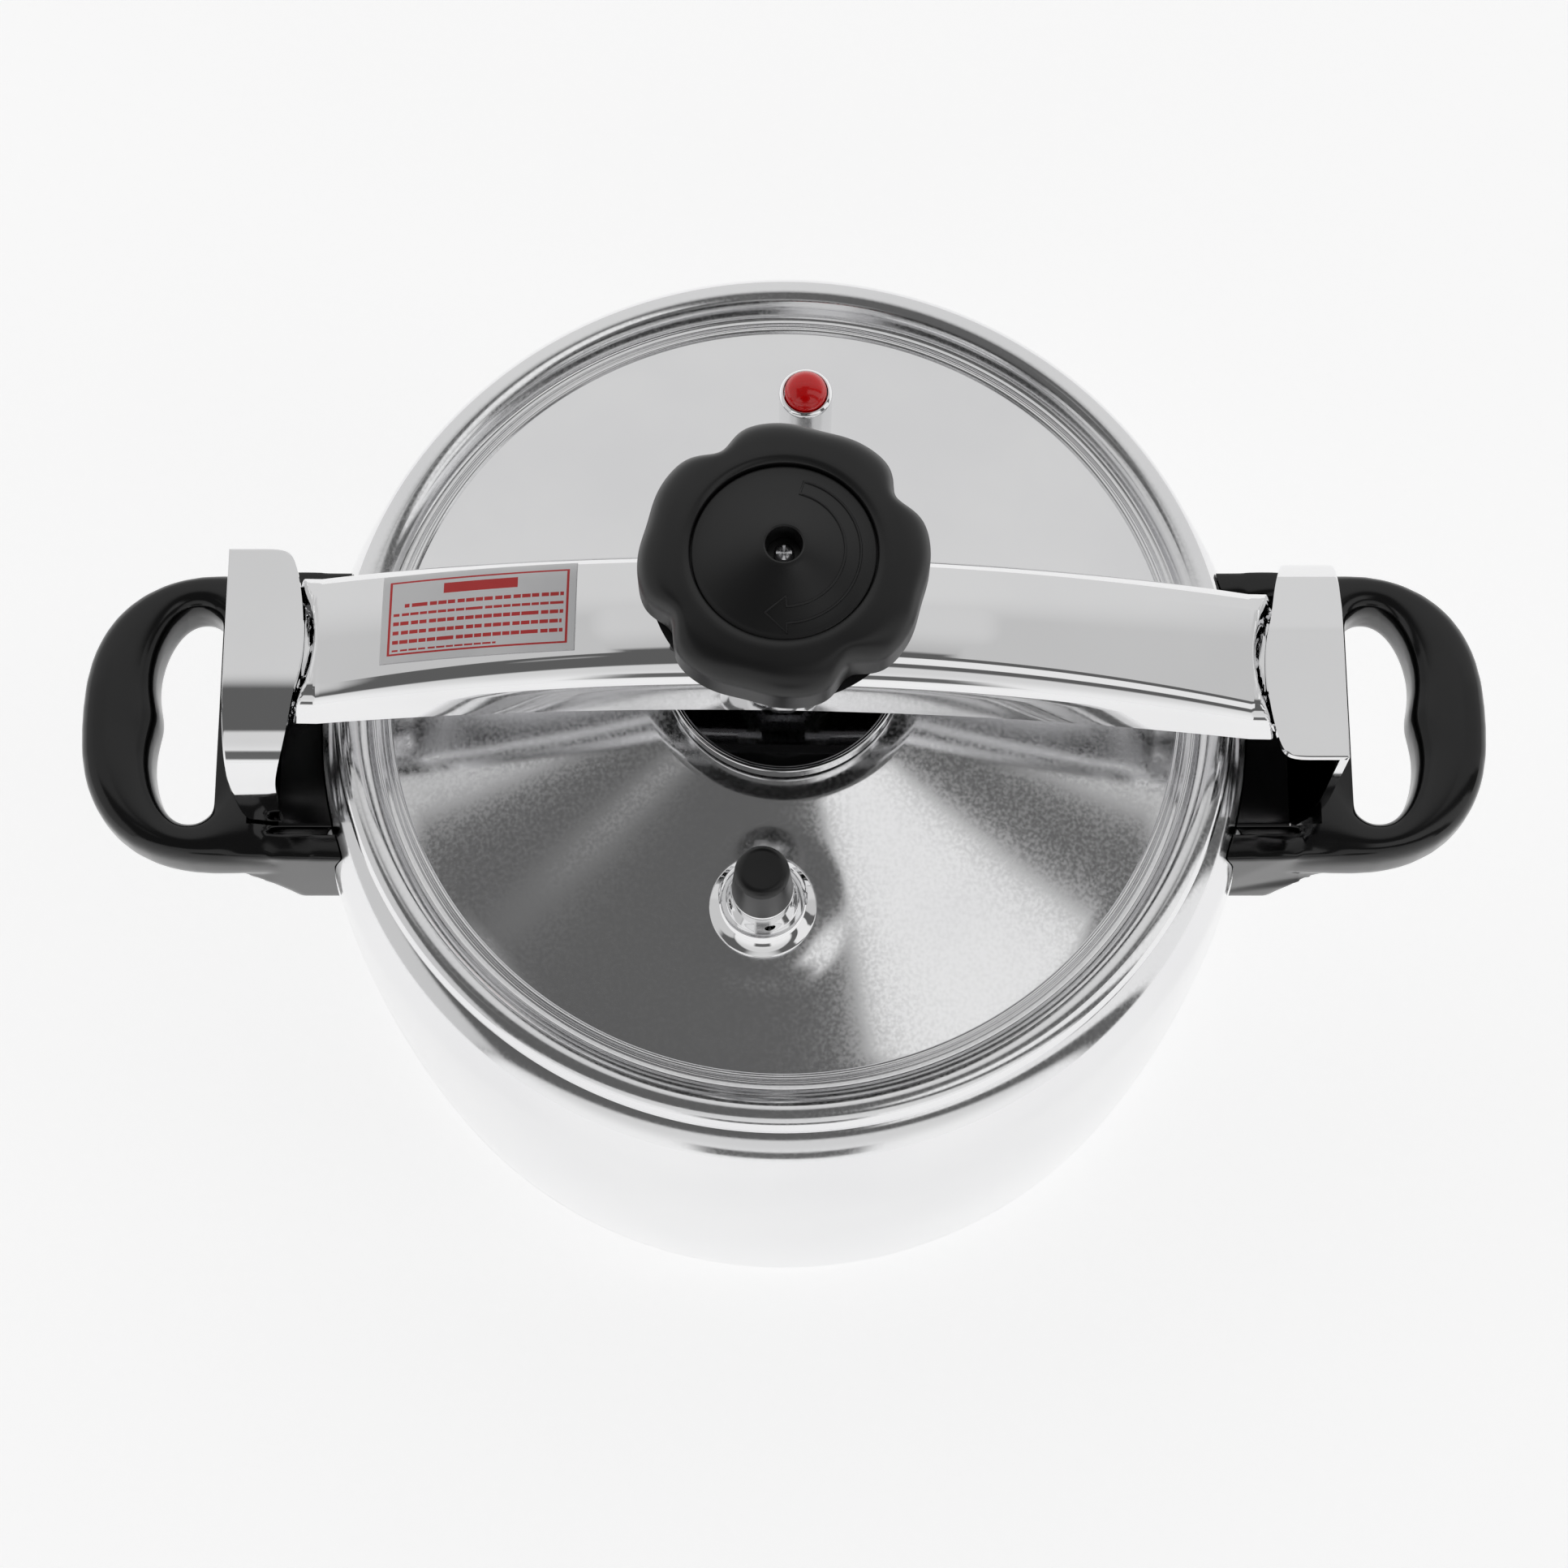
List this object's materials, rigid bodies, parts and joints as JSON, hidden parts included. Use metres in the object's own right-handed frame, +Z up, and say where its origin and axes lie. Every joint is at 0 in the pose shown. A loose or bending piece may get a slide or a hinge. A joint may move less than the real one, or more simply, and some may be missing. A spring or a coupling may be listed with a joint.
{
  "type": "pressure cooker",
  "caption": "Round stove-top pressure cooker with a screw-down beam under two ears, side handles, weight valve and pressure indicator.",
  "frame": {"origin": "centre of the pot's flat base", "axes": "+Z up, +X along the beam and the handles, -Y towards the weight valve"},
  "size_m": [0.429, 0.2912, 0.315],
  "materials": {
    "polished_aluminium": "mirror polished",
    "chromed_steel": "bright chrome",
    "steel": "machined",
    "handle_black": "glossy phenolic resin",
    "knob_black": "satin phenolic resin",
    "indicator_red": "glossy red plastic",
    "seal_rubber": "soft silicone",
    "label_white": "printed film"
  },
  "bodies": {
    "pot": {"pot_shell": "polished_aluminium", "ear_left": "chromed_steel", "ear_right": "chromed_steel", "ear_rivet_left_1": "steel", "ear_rivet_left_2": "steel", "ear_rivet_left_3": "steel", "ear_rivet_right_1": "steel", "ear_rivet_right_2": "steel", "ear_rivet_right_3": "steel", "handle_left": "handle_black", "handle_right": "handle_black", "handle_stud_left_back": "steel", "handle_stud_left_front": "steel", "handle_stud_right_back": "steel", "handle_stud_right_front": "steel", "handle_nut_left_back": "chromed_steel", "handle_nut_left_front": "chromed_steel", "handle_nut_right_back": "chromed_steel", "handle_nut_right_front": "chromed_steel"},
    "lid": {"lid_shell": "polished_aluminium", "sealing_ring": "seal_rubber", "hub_plate": "chromed_steel", "hub_cap": "chromed_steel", "hub_nut": "steel", "vent_pipe": "steel", "vent_nut": "steel", "vent_strainer": "steel", "indicator_housing": "chromed_steel", "indicator_nut": "steel"},
    "spindle": {"spindle_screw": "steel", "knob": "knob_black", "knob_disc": "handle_black", "knob_screw": "steel", "knob_washer": "steel"},
    "beam": {"beam": "chromed_steel", "beam_bush": "steel", "beam_nut": "steel", "label": "label_white"},
    "weight": {"weight_bell": "chromed_steel", "weight_cap": "knob_black", "weight_needle": "steel"},
    "indicator": {"indicator_button": "indicator_red", "indicator_pin": "steel", "indicator_seal": "seal_rubber"}
  },
  "joints": [
    {"name": "lid_travel", "type": "slide", "parent": "pot", "child": "lid", "axis": [0, 0, 1], "range_m": [0, 0.0061]},
    {"name": "knob_turn", "type": "hinge", "parent": "lid", "child": "spindle", "pos_m": [0, 0, 0.28], "axis": [0, 0, 1], "range_deg": [0, 720]},
    {"name": "beam_swing", "type": "hinge", "parent": "pot", "child": "beam", "pos_m": [0, 0, 0.26], "axis": [0, 0, -1], "range_deg": [0, 45]},
    {"name": "weight_lift", "type": "slide", "parent": "lid", "child": "weight", "axis": [0, 0, 1], "range_m": [0, 0.03]},
    {"name": "indicator_rise", "type": "slide", "parent": "lid", "child": "indicator", "axis": [0, 0, 1], "range_m": [0, 0.006]}
  ],
  "couplings": [
    {"joint": "lid_travel", "follows": "knob_turn", "m_per_rad": 0.00047746}
  ]
}
